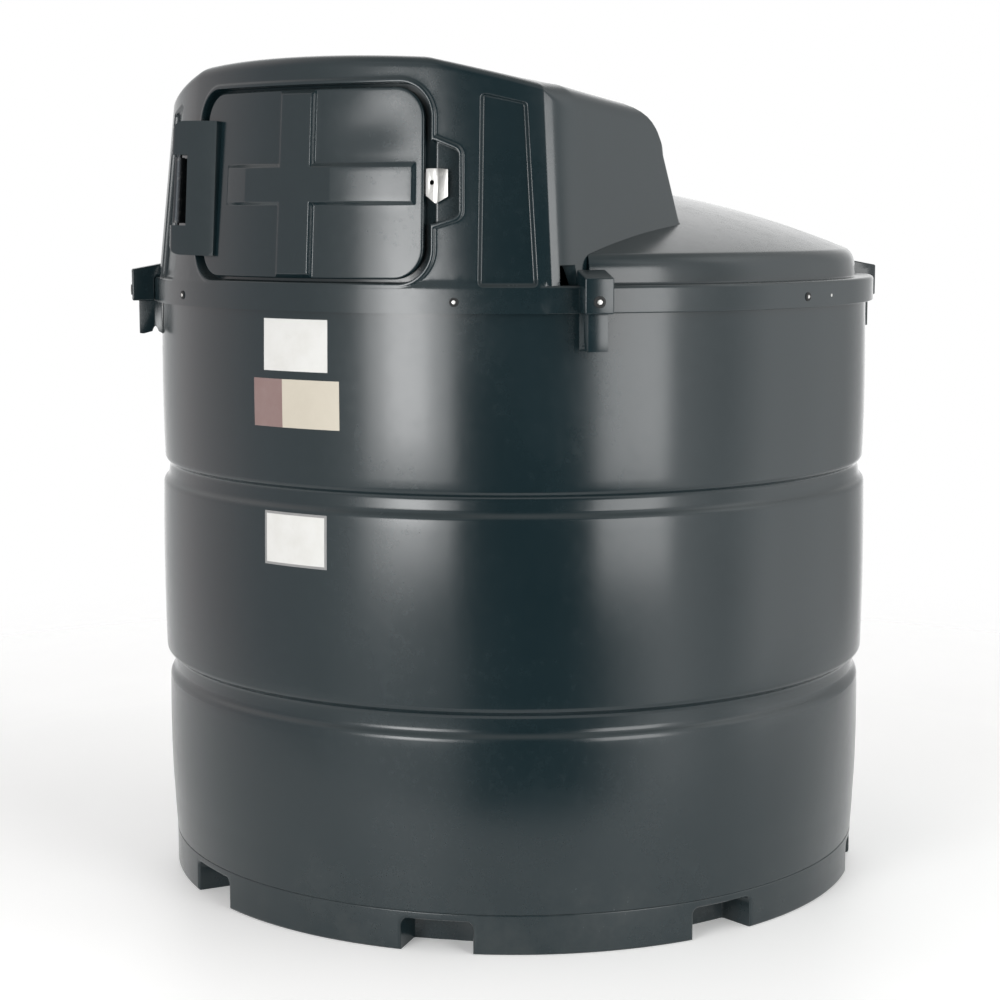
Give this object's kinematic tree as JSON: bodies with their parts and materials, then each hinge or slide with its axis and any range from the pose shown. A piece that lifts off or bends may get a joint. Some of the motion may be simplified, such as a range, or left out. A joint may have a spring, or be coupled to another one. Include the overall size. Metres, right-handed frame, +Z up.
{
  "type": "bunded vertical fuel storage tank",
  "caption": "Round moulded vertical fuel tank with ribbed bund wall, domed rear cover, notched base and a front hood with a hinged cabinet door.",
  "frame": {"origin": "on the tank's axis at floor level, in the underside of the base", "axes": "+Z up along the tank's axis, -Y towards the cabinet door, +X to the right of a person who faces the door"},
  "size_m": [1.888, 1.8881, 2.075],
  "materials": {
    "moulded_plastic": "semi-gloss moulded polyethylene, very dark green-black",
    "steel": "zinc-bright steel"
  },
  "bodies": {
    "tank": {"bund_floor": "moulded_plastic", "base_ring": "moulded_plastic", "bund_wall_front": "moulded_plastic", "bund_wall_front_right": "moulded_plastic", "bund_wall_right": "moulded_plastic", "bund_wall_rear_right": "moulded_plastic", "bund_wall_rear": "moulded_plastic", "bund_wall_rear_left": "moulded_plastic", "bund_wall_left": "moulded_plastic", "bund_wall_front_left": "moulded_plastic", "rear_cover": "moulded_plastic", "hood_cover": "moulded_plastic", "cabinet_floor": "moulded_plastic", "hinge_plate": "steel", "hinge_pin": "steel", "lug_block_front_right": "moulded_plastic", "lug_block_rear_right": "moulded_plastic", "lug_block_rear_left": "moulded_plastic", "lug_block_front_left": "moulded_plastic", "lug_leg_front_right": "moulded_plastic", "lug_leg_rear_right": "moulded_plastic", "lug_leg_rear_left": "moulded_plastic", "lug_leg_front_left": "moulded_plastic"},
    "door_leaf": {"door": "moulded_plastic", "hinge_moulding": "moulded_plastic", "latch_plate": "steel"}
  },
  "joints": [
    {"name": "door_hinge", "type": "hinge", "parent": "tank", "child": "door_leaf", "pos_m": [-0.3789, -0.8799, 1.779], "axis": [-0.0291, -0.0675, -0.9973], "range_deg": [0, 105]}
  ]
}
